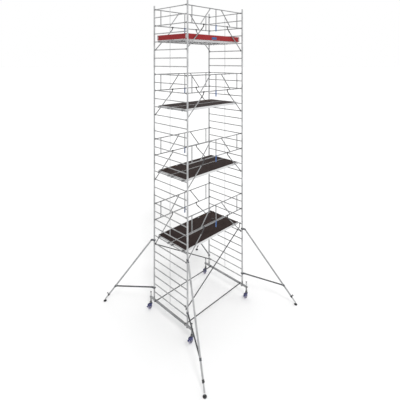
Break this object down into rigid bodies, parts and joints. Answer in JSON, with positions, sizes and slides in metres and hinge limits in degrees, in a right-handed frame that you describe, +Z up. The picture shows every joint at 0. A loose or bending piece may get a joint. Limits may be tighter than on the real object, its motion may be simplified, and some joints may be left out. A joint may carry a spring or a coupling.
{
  "type": "mobile tower scaffold",
  "caption": "Tall rolling scaffold tower of ladder frames with stacked working decks, guardrails, toe boards, braked castors and swing-out outriggers.",
  "frame": {"origin": "on the floor under the middle of the tower", "axes": "+X along the long side, +Y along the ladder end, +Z up"},
  "size_m": [4.301, 4.5492, 9.48],
  "materials": {
    "frame_tube": "drawn, satin",
    "rail_tube": "drawn, satin",
    "platform_profile": "extruded, satin",
    "deck_plywood": "dark brown phenolic film with anti-slip mesh",
    "hatch_plywood": "dark brown phenolic film with anti-slip mesh",
    "toe_board_red": "red painted plywood",
    "castor_nut_iron": "blackened casting",
    "zinc_steel": "zinc plated",
    "castor_blue": "navy blue powder coat",
    "pedal_blue": "navy blue powder coat",
    "castor_tyre": "pale grey violet rubber",
    "outrigger_tube": "drawn, satin",
    "outrigger_inner": "drawn, satin",
    "rubber_foot": "black rubber"
  },
  "bodies": {
    "tower": {"end_frame_left_1": "frame_tube", "end_frame_left_2": "frame_tube", "end_frame_left_3": "frame_tube", "end_frame_left_4": "frame_tube", "end_frame_right_1": "frame_tube", "end_frame_right_2": "frame_tube", "end_frame_right_3": "frame_tube", "end_frame_right_4": "frame_tube", "top_frames": "frame_tube", "base_beams": "frame_tube", "base_braces": "frame_tube", "guardrails_1": "rail_tube", "platform_frames_1": "platform_profile", "deck_boards_1": "deck_plywood", "guardrails_2": "rail_tube", "platform_frames_2": "platform_profile", "deck_boards_2": "deck_plywood", "guardrails_3": "rail_tube", "platform_frames_3": "platform_profile", "deck_boards_3": "deck_plywood", "guardrails_4": "rail_tube", "platform_frames_4": "platform_profile", "deck_boards_4": "deck_plywood", "toe_boards": "toe_board_red"},
    "castor_nut_left_front": {"castor_nut_left_front": "castor_nut_iron"},
    "castor_spindle_left_front": {"castor_spindle_left_front": "zinc_steel"},
    "castor_fork_left_front": {"castor_fork_left_front": "castor_blue"},
    "castor_wheel_left_front": {"castor_wheel_left_front": "castor_tyre"},
    "brake_pedal_left_front": {"brake_pedal_left_front": "pedal_blue"},
    "castor_nut_right_front": {"castor_nut_right_front": "castor_nut_iron"},
    "castor_spindle_right_front": {"castor_spindle_right_front": "zinc_steel"},
    "castor_fork_right_front": {"castor_fork_right_front": "castor_blue"},
    "castor_wheel_right_front": {"castor_wheel_right_front": "castor_tyre"},
    "brake_pedal_right_front": {"brake_pedal_right_front": "pedal_blue"},
    "castor_nut_right_rear": {"castor_nut_right_rear": "castor_nut_iron"},
    "castor_spindle_right_rear": {"castor_spindle_right_rear": "zinc_steel"},
    "castor_fork_right_rear": {"castor_fork_right_rear": "castor_blue"},
    "castor_wheel_right_rear": {"castor_wheel_right_rear": "castor_tyre"},
    "brake_pedal_right_rear": {"brake_pedal_right_rear": "pedal_blue"},
    "castor_nut_left_rear": {"castor_nut_left_rear": "castor_nut_iron"},
    "castor_spindle_left_rear": {"castor_spindle_left_rear": "zinc_steel"},
    "castor_fork_left_rear": {"castor_fork_left_rear": "castor_blue"},
    "castor_wheel_left_rear": {"castor_wheel_left_rear": "castor_tyre"},
    "brake_pedal_left_rear": {"brake_pedal_left_rear": "pedal_blue"},
    "outrigger_frame_left_front": {"outrigger_frame_left_front": "outrigger_tube"},
    "outrigger_leg_left_front": {"outrigger_leg_left_front": "outrigger_inner"},
    "outrigger_foot_left_front": {"outrigger_foot_left_front": "rubber_foot"},
    "outrigger_frame_right_front": {"outrigger_frame_right_front": "outrigger_tube"},
    "outrigger_leg_right_front": {"outrigger_leg_right_front": "outrigger_inner"},
    "outrigger_foot_right_front": {"outrigger_foot_right_front": "rubber_foot"},
    "outrigger_frame_right_rear": {"outrigger_frame_right_rear": "outrigger_tube"},
    "outrigger_leg_right_rear": {"outrigger_leg_right_rear": "outrigger_inner"},
    "outrigger_foot_right_rear": {"outrigger_foot_right_rear": "rubber_foot"},
    "outrigger_frame_left_rear": {"outrigger_frame_left_rear": "outrigger_tube"},
    "outrigger_leg_left_rear": {"outrigger_leg_left_rear": "outrigger_inner"},
    "outrigger_foot_left_rear": {"outrigger_foot_left_rear": "rubber_foot"},
    "hatch_lid_1": {"hatch_lid_1": "hatch_plywood"},
    "hatch_lid_2": {"hatch_lid_2": "hatch_plywood"},
    "hatch_lid_3": {"hatch_lid_3": "hatch_plywood"},
    "hatch_lid_4": {"hatch_lid_4": "hatch_plywood"}
  },
  "joints": [
    {"name": "spindle_height_left_front", "type": "slide", "parent": "tower", "child": "castor_spindle_left_front", "axis": [0, 0, -1], "range_m": [0, 0.12]},
    {"name": "nut_turn_left_front", "type": "hinge", "parent": "tower", "child": "castor_nut_left_front", "pos_m": [-1.25, -0.92, 0.22], "axis": [0, 0, 1], "range_deg": [0, 5401]},
    {"name": "castor_swivel_left_front", "type": "hinge", "parent": "castor_spindle_left_front", "child": "castor_fork_left_front", "pos_m": [-1.25, -0.92, 0.165], "axis": [0, 0, 1], "continuous": true},
    {"name": "wheel_roll_left_front", "type": "hinge", "parent": "castor_fork_left_front", "child": "castor_wheel_left_front", "pos_m": [-1.285, -0.92, 0.075], "axis": [0, 1, 0], "continuous": true},
    {"name": "brake_press_left_front", "type": "hinge", "parent": "castor_fork_left_front", "child": "brake_pedal_left_front", "pos_m": [-1.347, -0.92, 0.143], "axis": [0, -1, 0], "range_deg": [0, 22]},
    {"name": "spindle_height_right_front", "type": "slide", "parent": "tower", "child": "castor_spindle_right_front", "axis": [0, 0, -1], "range_m": [0, 0.12]},
    {"name": "nut_turn_right_front", "type": "hinge", "parent": "tower", "child": "castor_nut_right_front", "pos_m": [1.25, -0.92, 0.22], "axis": [0, 0, 1], "range_deg": [0, 5401]},
    {"name": "castor_swivel_right_front", "type": "hinge", "parent": "castor_spindle_right_front", "child": "castor_fork_right_front", "pos_m": [1.25, -0.92, 0.165], "axis": [0, 0, 1], "continuous": true},
    {"name": "wheel_roll_right_front", "type": "hinge", "parent": "castor_fork_right_front", "child": "castor_wheel_right_front", "pos_m": [1.215, -0.92, 0.075], "axis": [0, 1, 0], "continuous": true},
    {"name": "brake_press_right_front", "type": "hinge", "parent": "castor_fork_right_front", "child": "brake_pedal_right_front", "pos_m": [1.153, -0.92, 0.143], "axis": [0, -1, 0], "range_deg": [0, 22]},
    {"name": "spindle_height_right_rear", "type": "slide", "parent": "tower", "child": "castor_spindle_right_rear", "axis": [0, 0, -1], "range_m": [0, 0.12]},
    {"name": "nut_turn_right_rear", "type": "hinge", "parent": "tower", "child": "castor_nut_right_rear", "pos_m": [1.25, 0.92, 0.22], "axis": [0, 0, 1], "range_deg": [0, 5401]},
    {"name": "castor_swivel_right_rear", "type": "hinge", "parent": "castor_spindle_right_rear", "child": "castor_fork_right_rear", "pos_m": [1.25, 0.92, 0.165], "axis": [0, 0, 1], "continuous": true},
    {"name": "wheel_roll_right_rear", "type": "hinge", "parent": "castor_fork_right_rear", "child": "castor_wheel_right_rear", "pos_m": [1.215, 0.92, 0.075], "axis": [0, 1, 0], "continuous": true},
    {"name": "brake_press_right_rear", "type": "hinge", "parent": "castor_fork_right_rear", "child": "brake_pedal_right_rear", "pos_m": [1.153, 0.92, 0.143], "axis": [0, -1, 0], "range_deg": [0, 22]},
    {"name": "spindle_height_left_rear", "type": "slide", "parent": "tower", "child": "castor_spindle_left_rear", "axis": [0, 0, -1], "range_m": [0, 0.12]},
    {"name": "nut_turn_left_rear", "type": "hinge", "parent": "tower", "child": "castor_nut_left_rear", "pos_m": [-1.25, 0.92, 0.22], "axis": [0, 0, 1], "range_deg": [0, 5401]},
    {"name": "castor_swivel_left_rear", "type": "hinge", "parent": "castor_spindle_left_rear", "child": "castor_fork_left_rear", "pos_m": [-1.25, 0.92, 0.165], "axis": [0, 0, 1], "continuous": true},
    {"name": "wheel_roll_left_rear", "type": "hinge", "parent": "castor_fork_left_rear", "child": "castor_wheel_left_rear", "pos_m": [-1.285, 0.92, 0.075], "axis": [0, 1, 0], "continuous": true},
    {"name": "brake_press_left_rear", "type": "hinge", "parent": "castor_fork_left_rear", "child": "brake_pedal_left_rear", "pos_m": [-1.347, 0.92, 0.143], "axis": [0, -1, 0], "range_deg": [0, 22]},
    {"name": "outrigger_swing_left_front", "type": "hinge", "parent": "tower", "child": "outrigger_frame_left_front", "pos_m": [-1.25, -0.75, 2.2], "axis": [0, 0, 1], "range_deg": [-60, 60]},
    {"name": "leg_extend_left_front", "type": "slide", "parent": "outrigger_frame_left_front", "child": "outrigger_leg_left_front", "axis": [-0.301, -0.5213, -0.7985], "range_m": [-0.1, 0.5]},
    {"name": "foot_tilt_left_front", "type": "hinge", "parent": "outrigger_leg_left_front", "child": "outrigger_foot_left_front", "pos_m": [-2.1025, -2.22657, 0.055], "axis": [0.866, -0.5, 0], "range_deg": [-20, 20]},
    {"name": "outrigger_swing_right_front", "type": "hinge", "parent": "tower", "child": "outrigger_frame_right_front", "pos_m": [1.25, -0.75, 2.2], "axis": [0, 0, 1], "range_deg": [-60, 60]},
    {"name": "leg_extend_right_front", "type": "slide", "parent": "outrigger_frame_right_front", "child": "outrigger_leg_right_front", "axis": [0.301, -0.5213, -0.7985], "range_m": [-0.1, 0.5]},
    {"name": "foot_tilt_right_front", "type": "hinge", "parent": "outrigger_leg_right_front", "child": "outrigger_foot_right_front", "pos_m": [2.1025, -2.22657, 0.055], "axis": [0.866, 0.5, 0], "range_deg": [-20, 20]},
    {"name": "outrigger_swing_right_rear", "type": "hinge", "parent": "tower", "child": "outrigger_frame_right_rear", "pos_m": [1.25, 0.75, 2.2], "axis": [0, 0, 1], "range_deg": [-60, 60]},
    {"name": "leg_extend_right_rear", "type": "slide", "parent": "outrigger_frame_right_rear", "child": "outrigger_leg_right_rear", "axis": [0.301, 0.5213, -0.7985], "range_m": [-0.1, 0.5]},
    {"name": "foot_tilt_right_rear", "type": "hinge", "parent": "outrigger_leg_right_rear", "child": "outrigger_foot_right_rear", "pos_m": [2.1025, 2.22657, 0.055], "axis": [-0.866, 0.5, 0], "range_deg": [-20, 20]},
    {"name": "outrigger_swing_left_rear", "type": "hinge", "parent": "tower", "child": "outrigger_frame_left_rear", "pos_m": [-1.25, 0.75, 2.2], "axis": [0, 0, 1], "range_deg": [-60, 60]},
    {"name": "leg_extend_left_rear", "type": "slide", "parent": "outrigger_frame_left_rear", "child": "outrigger_leg_left_rear", "axis": [-0.301, 0.5213, -0.7985], "range_m": [-0.1, 0.5]},
    {"name": "foot_tilt_left_rear", "type": "hinge", "parent": "outrigger_leg_left_rear", "child": "outrigger_foot_left_rear", "pos_m": [-2.1025, 2.22657, 0.055], "axis": [-0.866, -0.5, 0], "range_deg": [-20, 20]},
    {"name": "hatch_open_1", "type": "hinge", "parent": "tower", "child": "hatch_lid_1", "pos_m": [0, 0.54, 2.401], "axis": [-1, 0, 0], "range_deg": [0, 95]},
    {"name": "hatch_open_2", "type": "hinge", "parent": "tower", "child": "hatch_lid_2", "pos_m": [0, 0.54, 4.401], "axis": [-1, 0, 0], "range_deg": [0, 95]},
    {"name": "hatch_open_3", "type": "hinge", "parent": "tower", "child": "hatch_lid_3", "pos_m": [0, 0.54, 6.401], "axis": [-1, 0, 0], "range_deg": [0, 95]},
    {"name": "hatch_open_4", "type": "hinge", "parent": "tower", "child": "hatch_lid_4", "pos_m": [0, 0.54, 8.401], "axis": [-1, 0, 0], "range_deg": [0, 95]}
  ],
  "couplings": [
    {"joint": "nut_turn_left_front", "follows": "spindle_height_left_front", "rad_per_m": 785.4},
    {"joint": "nut_turn_right_front", "follows": "spindle_height_right_front", "rad_per_m": 785.4},
    {"joint": "nut_turn_right_rear", "follows": "spindle_height_right_rear", "rad_per_m": 785.4},
    {"joint": "nut_turn_left_rear", "follows": "spindle_height_left_rear", "rad_per_m": 785.4}
  ]
}
